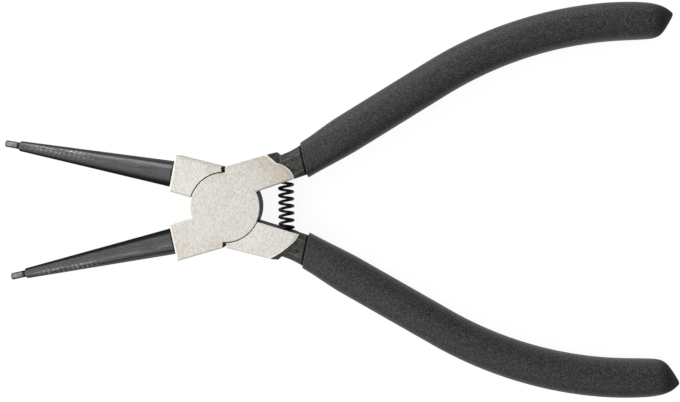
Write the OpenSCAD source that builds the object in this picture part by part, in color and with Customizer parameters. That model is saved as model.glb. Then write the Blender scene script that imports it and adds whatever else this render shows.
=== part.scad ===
// Circlip pliers for internal rings: two crossing halves turn in each other on a lap joint.
// The rivet's axis is Z, the back of the head lies at Z = 0, and X runs from the pivot to the handles.
// Both halves are one forging, the second turned half a turn about X, with the noses ground to their own length.

/* [Head] */
// Thickness across the ground faces of the head
head_t = 9.5; // [8.5:0.1:11]
// Diameter of the disc on each half
disc_d = 18.3; // [17:0.1:20]
// Radial gap between a disc and the recess round it
disc_gap = 0.25; // [0.1:0.05:0.5]
// Gap between the two laps
lap_gap = 0.06; // [0.02:0.01:0.1]
// Chamfer on the rim of a disc
disc_chamfer = 0.15; // [0.05:0.05:0.4]
// Chamfer along the edges of the ground faces
edge_chamfer = 0.35; // [0.1:0.05:0.6]
// Height of the opening stops above the recess
stop_h = 1.3; // [0.5:0.05:1.6]
// Direction of the notch between the opening stops
stop_angle = 91.3; // [88:0.1:96]
// Angle of the notch between the opening stops
stop_gap = 6; // [4:0.5:9]

/* [Pivot rivet] */
// Diameter of the rivet's shank
rivet_d = 6; // [4:0.1:7.5]
// Diameter of the rivet's countersunk heads
rivet_head_d = 8; // [7.6:0.1:9.5]
// Running gap round the rivet in the front half
rivet_gap = 0.04; // [0.02:0.01:0.08]

/* [Jaws] */
// Angle of a jaw to the centre line
jaw_angle = 11.4; // [10:0.1:14]
// Distance of a jaw's axis from the pivot
jaw_offset = 5.9; // [5.4:0.1:7]
// Distance of the shoulder from the pivot, along the jaw
jaw_shoulder = 15.2; // [14.5:0.1:20]
// Length of the front jaw's cone
jaw_len_front = 41; // [25:0.5:60]
// Length of the rear jaw's cone
jaw_len_rear = 42; // [25:0.5:60]
// Diameter of the cone at the shoulder
jaw_base_d = 7.1; // [5:0.1:8]
// Diameter of the cone at the nose
jaw_nose_d = 2.75; // [2.5:0.05:4]
// Chamfer on the nose
nose_chamfer = 0.2; // [0.05:0.05:0.3]
// Width of the shoulder from the jaw's axis outwards
boss_out = 5.2; // [4.5:0.1:6.5]
// Angle of the boss's inner face to the centre line, where the closing jaws stop
boss_angle = 17.1; // [16:0.1:18]

/* [Tips] */
// Diameter of a tip's free end
tip_d = 1.8; // [1.6:0.05:2.2]
// Length of a tip's free end
tip_len = 3.9; // [2:0.1:7]
// Chamfer on the end of a tip
tip_chamfer = 0.25; // [0.05:0.05:0.4]
// Diameter of a tip's shank in the nose
tip_seat_d = 1.3; // [1:0.05:1.45]
// Depth of the hole for a tip's shank
tip_seat = 8; // [4:0.5:12]

/* [Handle roots] */
// Direction of a root's inner edge to the centre line
root_angle = 17.8; // [15:0.1:22]
// Direction of a root's outer edge to the centre line
root_out_angle = 15.1; // [12:0.1:18]
// Distance of a root's inner edge from the pivot
root_in = 1.2; // [0.5:0.1:2.5]
// Distance of the round end of the root's centre from the pivot
blend_x = 6; // [5:0.1:7]
// Radius where the ground face ends on the recess's side
face_r_lap = 14.6; // [13:0.1:15.2]
// Radius of the foot of the slopes at the end of the ground faces
blend_r = 16.3; // [15.8:0.1:17]
// Direction of the middle of the ground face's end on the disc's side
face_dir = 51.5; // [45:0.5:58]
// Distance of the ground face's end from the pivot on the disc's side
face_out = 17.6; // [16.5:0.1:18.5]
// Radius of the ground face's end on the disc's side
face_r_disc = 40; // [20:1:80]
// Run of the slope at the end of the ground face on the disc's side
face_run = 2; // [1:0.1:3]

/* [Handles] */
// Direction of a handle's straight part to the centre line
handle_angle = 30.7; // [28:0.1:33]
// Distance of a handle's axis from the pivot, outwards
handle_offset = -0.3; // [-1.5:0.1:0.5]
// Length from the pivot to the bend
handle_straight = 65.7; // [50:0.1:90]
// Radius of the bend
bend_r = 103; // [70:1:150]
// Angle of the bend
bend_angle = 29; // [20:0.5:32]
// Length of the bar past the bend
tang_len = 4.9; // [2:0.1:20]
// Width of the bar
shank_w = 7.8; // [7:0.1:9]
// Thickness of the bar
shank_t = 6.8; // [5.5:0.1:7.2]
// Chamfer on the bar's four edges
shank_chamfer = 1.8; // [0.8:0.1:2.4]
// Distance from the pivot, along the bar, where its outer flank starts to flare to the root
neck_start = 24; // [21:0.5:26]
// Radius of the flare
neck_r = 20; // [16:0.5:40]

/* [Grips] */
// Wall of a dipped grip round the bar
grip_wall = 1.3; // [0.9:0.1:1.5]
// Wall of a grip's sides at its front end
grip_front_wall = 0.65; // [0.55:0.05:1.2]
// Distance of a grip's front end from the pivot, along the bar
grip_start = 24; // [23:0.1:40]
// Slant of a grip's front end
grip_slant = 18.5; // [0:0.1:25]
// Radius of the lip at a grip's front end
grip_lip = 0.3; // [0.1:0.05:0.4]
// Length over which a grip swells to its full width
grip_swell = 14; // [8:1:30]
// Squareness of a grip's section, 2 for an ellipse
grip_square = 2.4; // [2.2:0.1:4]
// Squareness of a grip's front end
grip_front_square = 3; // [2.8:0.1:5]
// Length of the nib past the end of the bar
nib_len = 8.9; // [6:0.1:14]
// Steepness of the nib's cone
nib_sharp = 1.75; // [1.6:0.05:3]
// Hardness of the shoulder in front of the nib on the inner side
nib_shoulder = 4.2; // [2.5:0.1:6]
// Hardness of the shoulder in front of the nib on the outer side
nib_shoulder_out = 2.6; // [2.2:0.1:6]
// Outward shift of the nib's point
nib_shift = 1.3; // [-2.5:0.1:2.5]
// Gap between a grip and the bar
grip_gap = 0.05; // [0.02:0.01:0.1]

/* [Spring] */
// Distance of the spring's axis from the pivot
spring_x = 15.75; // [15:0.05:17]
// Outer diameter of the spring
spring_d = 4.35; // [3:0.05:4.4]
// Diameter of the spring's wire
spring_wire = 0.68; // [0.4:0.02:0.8]
// Turns of the spring with its closed ends
spring_turns = 10.75; // [8:0.25:12]
// Direction of the spring's lower end about its axis
spring_dir = 250; // [0:5:355]
// Diameter of the spring's seats
seat_d = 4.7; // [4.5:0.1:5]
// Depth of the spring's seats in the roots' inner edges
seat_depth = 3.2; // [2:0.1:4]
// Gap between an end of the spring and its seat
spring_gap = 0.05; // [0.02:0.01:0.1]

/* [Hidden] */
$fn = 96;

disc_r = disc_d / 2;
recess_r = disc_r + disc_gap;
rivet_r = rivet_d / 2;
rivet_head_r = rivet_head_d / 2;
sink_h = rivet_head_r - rivet_r;

// The boss and the root run this far into the disc, clear of the rivet
lap_in = (rivet_head_r + 2 * disc_r) / 3;

// Corners of the boss in the jaw's own axes, with X along the jaw and Y outwards
boss_stop_dir = 180 - stop_angle - stop_gap / 2 - jaw_angle;
boss_stop = (recess_r + stop_h) * [cos(boss_stop_dir), sin(boss_stop_dir)];
boss_outer = [jaw_shoulder, jaw_offset + boss_out];
boss_inner = [jaw_shoulder, jaw_shoulder * tan(boss_angle - jaw_angle)];
boss_start = lap_in * [cos(boss_angle - jaw_angle), sin(boss_angle - jaw_angle)];
boss_stop_start = lap_in * [cos(boss_stop_dir), sin(boss_stop_dir)];

// Corners of the root in its own axes, with X along its edges and Y outwards
root_stop_dir = stop_angle - stop_gap / 2 - root_angle;
root_stop = (recess_r + stop_h) * [cos(root_stop_dir), sin(root_stop_dir)];
root_start = [sqrt(lap_in * lap_in - root_in * root_in), root_in];
root_stop_start = lap_in * [cos(root_stop_dir), sin(root_stop_dir)];
root_end = blend_x + blend_r;
root_inner = [root_end, root_in];
root_outer = [root_end, root_stop.y - (root_end - root_stop.x) * tan(root_angle - root_out_angle)];

// The bar starts well inside the root, past the recess
shank_start = recess_r + shank_w / 2;
arc_len = bend_r * bend_angle * PI / 180;
bend_steps = 14;
tang_end = handle_straight + arc_len + tang_len;
grip_a = shank_w / 2 + grip_wall;
grip_b = shank_t / 2 + grip_wall;
grip_front = shank_w / 2 + grip_front_wall;

// Height of the root's inner edge over the centre line at the spring
seat_mouth = (root_in + sin(root_angle) * spring_x) / cos(root_angle);
seat_floor = seat_mouth + seat_depth;

// Point on the handle's centre line at a length from the pivot, in the handle's axes
function bend_at(s) = min(max((s - handle_straight) / bend_r * 180 / PI, 0), bend_angle);
function line_at(s) =
    let (a = bend_at(s), past = max(s - handle_straight - arc_len, 0))
    [min(s, handle_straight) + bend_r * sin(a) + past * cos(a),
     -bend_r * (1 - cos(a)) - past * sin(a)];

// Point at a length from the pivot, a distance outwards from the line and a height
function on_line(s, out, z) =
    let (c = line_at(s), a = bend_at(s))
    [c.x + out * sin(a), c.y + out * cos(a), z];

// A signed power, for the rounded-square section of the grips
function sgn_pow(x, p) = sign(x) * pow(abs(x), p);

// Ease from 0 to 1
function ease(t) = let (k = min(max(t, 0), 1)) k * k * (3 - 2 * k);

// Triangles between rings of n points, with a fan over each end
function skin(rings, n) =
    let (last = (rings - 1) * n)
    concat(
        [for (i = [1 : n - 2]) [0, i + 1, i]],
        [for (r = [0 : rings - 2], i = [0 : n - 1], k = [0, 1])
            let (a = r * n + i, b = r * n + (i + 1) % n)
            k == 0 ? [a, b, a + n] : [b, b + n, a + n]],
        [for (i = [1 : n - 2]) [last, last + i, last + i + 1]]);

// Places for the pieces of each half
module front_side() translate([0, 0, head_t / 2]) children();
module rear_side() translate([0, 0, head_t / 2]) rotate([180, 0, 0]) children();
module jaw_axes() rotate([0, 0, 180 + jaw_angle]) children();
module root_axes() rotate([0, 0, root_angle]) children();
module handle_axes() rotate([0, 0, handle_angle]) translate([0, handle_offset, 0]) children();
module nose_axes(jaw_len)
    jaw_axes() translate([jaw_shoulder + jaw_len, jaw_offset, 0]) rotate([0, 90, 0]) children();

// Cutter for the chamfers along one edge of a plate, on both faces
module edge_cut(p, q) {
    side = edge_chamfer * sqrt(2);
    for (z = [-head_t / 2, head_t / 2])
        translate([(p.x + q.x) / 2, (p.y + q.y) / 2, z])
            rotate([0, 0, atan2(q.y - p.y, q.x - p.x)])
                rotate([45, 0, 0])
                    cube([norm(q - p) + 2 * edge_chamfer, side, side], center = true);
}

// Half-thick disc that turns in the other half's recess
module lap_disc() {
    rotate_extrude()
        polygon([[0, lap_gap / 2], [disc_r, lap_gap / 2], [disc_r, head_t / 2 - disc_chamfer],
                 [disc_r - disc_chamfer, head_t / 2], [0, head_t / 2]]);
}

// Full-thick block between the disc and the jaw, with a stop on each side
module jaw_boss() {
    jaw_axes() difference() {
        linear_extrude(head_t, center = true)
            polygon([boss_start, boss_inner, boss_outer, boss_stop, boss_stop_start]);
        edge_cut(boss_start, boss_inner);
        edge_cut(boss_inner, boss_outer);
        edge_cut(boss_outer, boss_stop);
    }
}

// Turned cone of the jaw, let into the boss
module jaw_cone(jaw_len) {
    base = jaw_base_d / 2;
    nose = jaw_nose_d / 2;
    nose_axes(jaw_len)
        rotate_extrude()
            polygon([[0, -jaw_len - base], [base, -jaw_len - base], [base, -jaw_len],
                     [nose, -nose_chamfer], [nose - nose_chamfer, 0], [0, 0]]);
}

// Full-thick start of the handle, whose ground faces run out in a round slope on each side
module handle_root() {
    foot = shank_t / 2 - shank_chamfer;
    foot_r = face_r_disc + face_run;
    intersection() {
        root_axes() difference() {
            linear_extrude(head_t, center = true)
                polygon([root_start, root_inner, root_outer, root_stop, root_stop_start]);
            edge_cut(root_start, root_inner);
            edge_cut(root_outer, root_stop);
        }
        translate([blend_x, 0, 0])
            rotate_extrude()
                polygon([[0, -head_t / 2], [face_r_lap, -head_t / 2], [blend_r, -foot],
                         [blend_r, head_t / 2], [0, head_t / 2]]);
        rotate([0, 0, face_dir])
            translate([face_out - face_r_disc, 0, 0])
                rotate_extrude()
                    polygon([[0, -head_t / 2], [foot_r, -head_t / 2], [foot_r, foot],
                             [face_r_disc, head_t / 2], [0, head_t / 2]]);
    }
}

// Width that the bar's outer flank gains towards the root
function flare(s) = neck_r - sqrt(neck_r * neck_r - pow(max(neck_start - s, 0), 2));

// Bar of the handle: an octagon drawn along the handle's line, trimmed by the root's inner edge
module handle_bar(gap) {
    w = shank_w / 2 + gap;
    t = shank_t / 2 + gap;
    c = shank_chamfer;
    section = [[w, c - t], [w - c, -t], [c - w, -t], [-w, c - t],
               [-w, t - c], [c - w, t], [w - c, t], [w, t - c]];
    rows = concat([for (i = [0 : 5]) shank_start + (neck_start - shank_start) * i / 5],
                  [for (i = [0 : bend_steps]) handle_straight + arc_len * i / bend_steps],
                  tang_end + gap);
    points = [for (s = rows, p = section) on_line(s, p.x + (p.x > 0 ? flare(s) : 0), p.y)];
    difference() {
        handle_axes() polyhedron(points, skin(len(rows), len(section)));
        root_axes()
            translate([0, root_in - gap - 2 * shank_w, -shank_t])
                cube([handle_straight, 2 * shank_w, 2 * shank_t]);
    }
}

// One forged half: jaw down and to the left, disc in front, handle up and to the right
module half(bore_gap, jaw_len) {
    difference() {
        union() {
            color("gainsboro") {
                lap_disc();
                jaw_boss();
                handle_root();
            }
            color("#2b2927") {
                jaw_cone(jaw_len);
                handle_bar(0);
            }
        }
        translate([0, 0, -head_t])
            cylinder(r = recess_r, h = head_t + lap_gap / 2);
        rotate_extrude()
            polygon([[0, -head_t], [rivet_r + bore_gap, -head_t],
                     [rivet_r + bore_gap, head_t / 2 - sink_h],
                     [rivet_head_r + bore_gap, head_t / 2],
                     [rivet_head_r + bore_gap, head_t], [0, head_t]]);
        translate([spring_x, seat_floor, 0])
            rotate([90, 0, 0])
                cylinder(d = seat_d, h = seat_floor);
        nose_axes(jaw_len)
            translate([0, 0, -tip_seat])
                cylinder(d = tip_seat_d, h = 2 * tip_seat);
    }
}

// Share of the grip's width that is left at a length, from 1 on the sleeve to 0 at the nib's point
function taper(s, shoulder) =
    let (left = nib_sharp * (tang_end + nib_len - s) / nib_len)
    pow(1 + pow(left, -shoulder), -1 / shoulder);

// Dipped grip: a rounded-square sleeve along the bar, slanted in front and drawn to a nib behind
module grip() {
    sides = 28;
    lip = [for (a = [0 : 30 : 60]) [grip_start + grip_lip * (1 - cos(a)), grip_lip * (1 - sin(a))]];
    front = grip_start + grip_lip;
    sleeve = concat(
        [for (i = [0 : 5]) front + grip_swell * i / 5],
        [for (i = [1 : 2]) front + grip_swell + (handle_straight - front - grip_swell) * i / 3],
        [for (i = [0 : bend_steps]) handle_straight + arc_len * i / bend_steps]);
    nib = [for (i = [0 : 12]) let (u = sin(i * 90 / 12.4)) tang_end + nib_len * u];
    rows = concat(lip, [for (s = concat(sleeve, nib)) [s, 0]]);
    points = [for (row = rows, i = [0 : sides - 1])
        let (s = row[0],
             t = -i * 360 / sides,
             f = taper(s, nib_shoulder),
             side = taper(s, cos(t) > 0 ? nib_shoulder_out : nib_shoulder),
             swell = ease((s - grip_start) / grip_swell),
             a = (grip_front + (grip_a - grip_front) * swell) * side - row[1],
             b = (grip_b + (grip_front - grip_a) * (1 - swell) / 2) * f - row[1],
             square = grip_front_square + (grip_square - grip_front_square) * swell,
             y = a * sgn_pow(cos(t), 2 / square),
             z = b * sgn_pow(sin(t), 2 / square),
             slide = y * tan(grip_slant) * (1 - swell))
        on_line(s + slide, y + nib_shift * (1 - f), z)];
    difference() {
        handle_axes() polyhedron(points, skin(len(rows), sides));
        handle_bar(grip_gap);
    }
}

// Hardened pin pressed into the nose
module tip(jaw_len) {
    seat = tip_seat_d / 2;
    free = tip_d / 2;
    nose_axes(jaw_len)
        rotate_extrude()
            polygon([[0, -tip_seat], [seat, -tip_seat], [seat, 0], [free, 0],
                     [free, tip_len - tip_chamfer], [free - tip_chamfer, tip_len], [0, tip_len]]);
}

// Front half, with the running gap round the rivet
module front_half() front_side() half(rivet_gap, jaw_len_front);

// Rear half, with the rivet fast in it
module rear_half() rear_side() half(0, jaw_len_rear);

// Rivet with a flush countersunk head on each face
module pivot_rivet() {
    color("gainsboro") front_side()
        rotate_extrude()
            polygon([[0, -head_t / 2], [rivet_head_r, -head_t / 2], [rivet_r, sink_h - head_t / 2],
                     [rivet_r, head_t / 2 - sink_h], [rivet_head_r, head_t / 2], [0, head_t / 2]]);
}

// Coil spring between the roots, with a closed turn at each end
module return_spring() {
    sides = 8;
    steps = 20;
    r = (spring_d - spring_wire) / 2;
    length = 2 * (seat_floor - spring_gap) - spring_wire;
    shut = spring_wire * 1.05;
    pitch = (length - 2 * shut) / (spring_turns - 2);
    rings = round(spring_turns * steps);
    points = [for (k = [0 : rings], i = [0 : sides - 1])
        let (n = k / steps,
             mid = min(max(n - 1, 0), spring_turns - 2),
             y = -length / 2 + (n - mid) * shut + mid * pitch,
             lead = atan((n < 1 || n > spring_turns - 1 ? shut : pitch) / (2 * PI * r)),
             a = n * 360 + spring_dir,
             t = -i * 360 / sides,
             out = r + spring_wire / 2 * cos(t),
             up = spring_wire / 2 * sin(t))
        [out * cos(a) + up * sin(lead) * sin(a),
         y + up * cos(lead),
         out * sin(a) - up * sin(lead) * cos(a)]];
    color("#232324") front_side()
        translate([spring_x, 0, 0])
            polyhedron(points, skin(rings + 1, sides));
}

// Grip on the upper handle
module front_grip() color("#3d3d3f") front_side() grip();

// Grip on the lower handle
module rear_grip() color("#3d3d3f") rear_side() grip();

// Tip of the lower jaw
module front_tip() color("#6f675f") front_side() tip(jaw_len_front);

// Tip of the upper jaw
module rear_tip() color("#6f675f") rear_side() tip(jaw_len_rear);

front_half();
rear_half();
pivot_rivet();
return_spring();
front_grip();
rear_grip();
front_tip();
rear_tip();
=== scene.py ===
"""Looks of the circlip pliers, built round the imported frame.

It makes the finishes, the dipped grips, the spring, the tips, the floor, the light and the camera.
"""

import logging
import math
from dataclasses import dataclass, field
from enum import Enum
from typing import Any

import bpy
import numpy as np
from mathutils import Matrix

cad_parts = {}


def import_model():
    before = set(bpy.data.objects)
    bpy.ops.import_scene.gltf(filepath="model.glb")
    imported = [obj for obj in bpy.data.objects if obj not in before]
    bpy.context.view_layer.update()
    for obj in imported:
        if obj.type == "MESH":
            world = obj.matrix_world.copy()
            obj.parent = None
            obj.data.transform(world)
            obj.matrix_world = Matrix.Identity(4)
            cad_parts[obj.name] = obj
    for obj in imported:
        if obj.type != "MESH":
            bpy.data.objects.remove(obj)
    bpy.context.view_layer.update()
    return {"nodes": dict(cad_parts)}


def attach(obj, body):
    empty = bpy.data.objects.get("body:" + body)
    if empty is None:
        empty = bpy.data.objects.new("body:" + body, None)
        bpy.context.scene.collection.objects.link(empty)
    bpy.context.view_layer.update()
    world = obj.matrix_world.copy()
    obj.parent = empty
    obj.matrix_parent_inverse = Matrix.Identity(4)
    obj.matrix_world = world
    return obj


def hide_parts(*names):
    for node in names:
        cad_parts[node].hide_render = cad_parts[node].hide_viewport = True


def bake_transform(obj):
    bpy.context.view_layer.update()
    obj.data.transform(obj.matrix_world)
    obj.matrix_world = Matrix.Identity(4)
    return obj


LOG = logging.getLogger("pliers")
MM = 0.001
PHOTO_W = 680

Colour = tuple[float, float, float, float]
Point = tuple[float, float]
# The two ends of a ramp: where it gives 0 and where it gives 1.
Span = tuple[float, float]


class Side(Enum):
    """The two halves: the front one has the lower jaw and the upper handle."""

    FRONT = "front"
    REAR = "rear"

    def place(self, points: np.ndarray, mid_z: float) -> np.ndarray:
        """Puts points that are drawn for the front half, about the mid-plane, into the part's frame.

        Args:
            points: Array whose last axis is x, y and z in millimetres.
            mid_z: Height of the mid-plane of the head.

        Returns:
            The points, turned half a turn about X for the rear half and lifted to the mid-plane.
        """
        turn = np.array([1.0, 1.0, 1.0] if self is Side.FRONT else [1.0, -1.0, -1.0])
        return points * turn + np.array([0.0, 0.0, mid_z])


class Shade:
    """A shader socket in an expression: each operator adds the node that works it out."""

    def __init__(self, nodes: "Nodes", socket: bpy.types.NodeSocket | None) -> None:
        """Keeps the socket and the maker that adds nodes beside it."""
        self.nodes = nodes
        self.socket = socket

    def _is_vector(self) -> bool:
        """Says if the socket carries a vector."""
        return self.socket.type == "VECTOR"

    def _do(self, operation: str, first: Any, second: Any) -> "Shade":
        """Adds one Math node, or one Vector Math node if this socket is a vector."""
        kind = "ShaderNodeVectorMath" if self._is_vector() else "ShaderNodeMath"
        return self.nodes.make(kind, {"operation": operation}, {0: first, 1: second})

    def __add__(self, other: Any) -> "Shade":
        """Adds a value or a socket."""
        return self._do("ADD", self, other)

    def __radd__(self, other: Any) -> "Shade":
        """Is added to a value."""
        return self._do("ADD", other, self)

    def __sub__(self, other: Any) -> "Shade":
        """Takes a value or a socket away."""
        return self._do("SUBTRACT", self, other)

    def __rsub__(self, other: Any) -> "Shade":
        """Is taken away from a value."""
        return self._do("SUBTRACT", other, self)

    def __mul__(self, other: Any) -> "Shade":
        """Multiplies by a value or a socket; a vector is scaled by a plain number."""
        if self._is_vector() and isinstance(other, (int, float)):
            settings = {"operation": "SCALE"}
            return self.nodes.make("ShaderNodeVectorMath", settings, {0: self, "Scale": other})
        return self._do("MULTIPLY", self, other)

    def __truediv__(self, other: Any) -> "Shade":
        """Divides by a value or a socket."""
        return self._do("DIVIDE", self, other)

    def __pow__(self, other: Any) -> "Shade":
        """Raises to a power."""
        return self._do("POWER", self, other)

    def __abs__(self) -> "Shade":
        """Drops the sign."""
        return self.nodes.make("ShaderNodeMath", {"operation": "ABSOLUTE"}, {0: self})

    def larger(self, other: Any) -> "Shade":
        """Takes the larger of this and another."""
        return self._do("MAXIMUM", self, other)

    def smaller(self, other: Any) -> "Shade":
        """Takes the smaller of this and another."""
        return self._do("MINIMUM", self, other)

    def dot(self, other: "Shade") -> "Shade":
        """Takes the dot product with another vector."""
        settings = {"operation": "DOT_PRODUCT"}
        return self.nodes.make("ShaderNodeVectorMath", settings, {0: self, 1: other}, "Value")

    def wave(self, pitch: float) -> "Shade":
        """Waves between 0 and 1, once in each pitch."""
        turns = self * (2 * math.pi / pitch)
        return self.nodes.make("ShaderNodeMath", {"operation": "SINE"}, {0: turns}) * 0.5 + 0.5

    def ramp(self, low: float, high: float) -> "Shade":
        """Runs smoothly from 0 at low to 1 at high, and from 1 to 0 if low is the larger."""
        settings = {"interpolation_type": "SMOOTHSTEP"}
        first, last = (low, high) if low < high else (high, low)
        ends = (0.0, 1.0) if low < high else (1.0, 0.0)
        inputs = {0: self, 1: first, 2: last, 3: ends[0], 4: ends[1]}
        return self.nodes.make("ShaderNodeMapRange", settings, inputs)

    def axis(self, name: str) -> "Shade":
        """Gives the X, Y or Z of a vector."""
        return self.nodes.make("ShaderNodeSeparateXYZ", {}, {0: self}, name)


@dataclass(frozen=True)
class Edges:
    """Where a piece has edges: shares of all edges, of slopes, of slopes across it and of slopes to +Y."""

    bent: Shade
    tilted: Shade
    crosswise: Shade
    upper: Shade


class Nodes:
    """Adds nodes to one node tree."""

    # Cosines between which a normal goes from unturned to turned.
    turned: Span = (0.995, 0.94)
    # Parts of a normal along an axis between which a slope comes to face it.
    facing: Span = (0.1, 0.35)
    bevel_samples: int = 6

    def __init__(self, tree: bpy.types.NodeTree) -> None:
        """Keeps the tree and empties it."""
        self.tree = tree
        tree.nodes.clear()

    def make(self, kind: str, settings: dict[str, Any], inputs: dict[Any, Any], output: Any = 0) -> Shade:
        """Adds one node.

        Args:
            kind: Blender's name of the node's type.
            settings: The node's own properties, set first.
            inputs: Values or sockets for its inputs, by name or number.
            output: Name or number of the output to hand back.

        Returns:
            The chosen output, ready for expressions.
        """
        node = self.tree.nodes.new(kind)
        for name, value in settings.items():
            setattr(node, name, value)
        for key, value in inputs.items():
            if isinstance(value, Shade):
                self.tree.links.new(value.socket, node.inputs[key])
            else:
                node.inputs[key].default_value = value
        return Shade(self, node.outputs[output] if len(node.outputs) else None)

    def place(self) -> Shade:
        """Gives the object's own coordinates in millimetres."""
        return self.make("ShaderNodeTexCoord", {}, {}, "Object") * (1 / MM)

    def plain_normal(self) -> Shade:
        """Gives the normal of the surface before any bump."""
        return self.make("ShaderNodeNewGeometry", {}, {}, "Normal")

    def mix(self, share: Any, first: Any, second: Any) -> Shade:
        """Mixes two colours by a share."""
        return self.make("ShaderNodeMix", {"data_type": "RGBA"}, {0: share, 6: first, 7: second}, 2)

    def blend(self, share: Any, first: Any, second: Any) -> Shade:
        """Mixes two numbers by a share."""
        return self.make("ShaderNodeMix", {"data_type": "FLOAT"}, {0: share, 2: first, 3: second})

    def bump(self, height: Shade, depth: float, before: Shade | None = None) -> Shade:
        """Gives a normal for a height from 0 to 1 and its depth in millimetres, over an earlier normal."""
        inputs = {"Height": height, "Distance": depth * MM}
        if before is not None:
            inputs["Normal"] = before
        return self.make("ShaderNodeBump", {}, inputs)

    def bevel(self, radius: float) -> Shade:
        """Gives a normal that rounds the edges by a radius in millimetres."""
        return self.make("ShaderNodeBevel", {"samples": self.bevel_samples}, {"Radius": radius * MM})

    def edges(self, width: float) -> Edges:
        """Finds the edges of a piece.

        Args:
            width: How far an edge reaches, in millimetres.

        Returns:
            The shares of the edges.
        """
        rounded = self.bevel(width)
        bent = rounded.dot(self.plain_normal()).ramp(*self.turned)
        tilted = abs(rounded.axis("Z")).ramp(*self.turned)
        crosswise = tilted * abs(rounded.axis("X")).ramp(*self.facing)
        upper = tilted * rounded.axis("Y").ramp(*self.facing)
        return Edges(bent, tilted, crosswise, upper)

    def surface(self, inputs: dict[str, Any]) -> None:
        """Ends the tree in a Principled BSDF with these inputs."""
        shader = self.make("ShaderNodeBsdfPrincipled", {}, inputs)
        self.make("ShaderNodeOutputMaterial", {}, {"Surface": shader})


@dataclass(frozen=True)
class Grain:
    """A noise in a finish: features to a millimetre, octaves of detail and how strong they are."""

    scale: float
    detail: float = 2.0
    rough: float = 0.5

    def noise(self, at: Shade) -> Shade:
        """Gives the noise, about 0.5, at coordinates in millimetres."""
        inputs = {"Vector": at, "Scale": self.scale, "Detail": self.detail, "Roughness": self.rough}
        return at.nodes.make("ShaderNodeTexNoise", {}, inputs, "Fac")


@dataclass(frozen=True)
class Layer:
    """A tint in a finish: the ends of its ramp, its share where the ramp is full and its colour."""

    span: Span
    share: float
    tint: Colour

    def over(self, base: Any, measure: Shade, mask: Shade | None = None) -> Shade:
        """Lays the tint over a colour.

        Args:
            base: The colour beneath.
            measure: The value that runs through the ramp.
            mask: Share that lets the tint through, or none for all of it.

        Returns:
            The colour with the tint.
        """
        full = measure.ramp(*self.span)
        if mask is not None:
            full = full * mask
        return measure.nodes.mix(full * self.share, base, self.tint)


def colour(red: float, green: float, blue: float) -> Colour:
    """Gives a colour in Blender's linear form for one seen on a screen, each part from 0 to 255."""
    seen = np.array([red, green, blue]) / 255
    linear = np.where(seen <= 0.04045, seen / 12.92, ((seen + 0.055) / 1.055) ** 2.4)
    return (*linear.tolist(), 1.0)


WHITE = colour(255, 255, 255)
# Pale steel: the paler tone and specks of the ground faces, and painted highlight on edges and at the lip's
# end.
PALE_STEEL_AND_HIGHLIGHT = colour(248, 246, 241)
WORN_STEEL = colour(142, 141, 141)
# Rubbed steel: light dust on the jaws, and the painted highlight band and painted glints on them.
RUBBED_STEEL_AND_HIGHLIGHT = colour(216, 212, 222)
BLACK_OXIDE = colour(64, 65, 66)
# Near black for painted shade on the jaws and the tips.
PAINTED_SHADE = colour(28, 26, 25)
# Near black: pits in the oxide, and painted shade on the jaws, the upright walls and the bar by the grips.
SOOT_AND_SHADE = colour(9, 9, 9)


def past_circle(x: Shade, y: Shade, middle: Point, radius: float) -> Shade:
    """Works out how far a point lies outside a circle, below 0 inside it."""
    return ((x - middle[0]) ** 2 + (y - middle[1]) ** 2) ** 0.5 - radius


def new_material(name: str) -> tuple[bpy.types.Material, Nodes]:
    """Makes an empty material.

    Args:
        name: Name of the material.

    Returns:
        The material and the maker of its nodes.
    """
    material = bpy.data.materials.new(name)
    material.use_nodes = True
    return material, Nodes(material.node_tree)


def dress(piece: bpy.types.Object, material: bpy.types.Material) -> None:
    """Gives a piece one material."""
    piece.data.materials.clear()
    piece.data.materials.append(material)


def tube(name: str, rings: np.ndarray, sharp: float = 180.0) -> bpy.types.Object:
    """Makes a closed mesh from rings of points, in millimetres, whose first and last ring shrink to poles.

    The surface is the grid of rings by points, closed round each ring, with a fan of triangles to the
    middle of the first ring and one to the middle of the last. It is turned outwards by the sign of its
    volume.

    Args:
        name: Name of the object.
        rings: Array of rings by points by x, y and z.
        sharp: Angle in degrees above which an edge stays sharp.

    Returns:
        The object, linked to the scene.
    """
    count, around = rings.shape[:2]
    poles = np.stack([rings[0].mean(0), rings[-1].mean(0)])
    points = np.concatenate([rings.reshape(-1, 3), poles]) * MM
    index = np.arange(count * around).reshape(count, around)
    ahead = np.roll(index, -1, axis=1)
    quads = np.stack([index[:-1], ahead[:-1], ahead[1:], index[1:]], -1).reshape(-1, 4)
    first, last = count * around, count * around + 1
    start = np.stack([ahead[0], index[0], np.full(around, first)], -1)
    finish = np.stack([index[-1], ahead[-1], np.full(around, last)], -1)
    corners = np.concatenate([quads[:, :3], quads[:, [0, 2, 3]], start, finish])
    a, b, c = points[corners[:, 0]], points[corners[:, 1]], points[corners[:, 2]]
    if np.einsum("ij,ij->i", a, np.cross(b, c)).sum() < 0:
        quads, start, finish = quads[:, ::-1], start[:, ::-1], finish[:, ::-1]
    mesh = bpy.data.meshes.new(name)
    mesh.from_pydata(points.tolist(), [], quads.tolist() + start.tolist() + finish.tolist())
    mesh.shade_smooth()
    mesh.set_sharp_from_angle(angle=math.radians(sharp))
    piece = bpy.data.objects.new(name, mesh)
    bpy.context.scene.collection.objects.link(piece)
    return piece


def revolve(profile: np.ndarray, around: int) -> np.ndarray:
    """Works out the rings of a turned piece about Z: each point (r, z) of the profile becomes a circle.

    Args:
        profile: Array of points by radius and height.
        around: Points to a ring.

    Returns:
        Array of rings by points by x, y and z.
    """
    turn = np.linspace(0, 2 * math.pi, around, endpoint=False)
    r, z = profile[:, 0, None], profile[:, 1, None]
    return np.stack([r * np.cos(turn), r * np.sin(turn), z + 0 * turn], -1)


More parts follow.
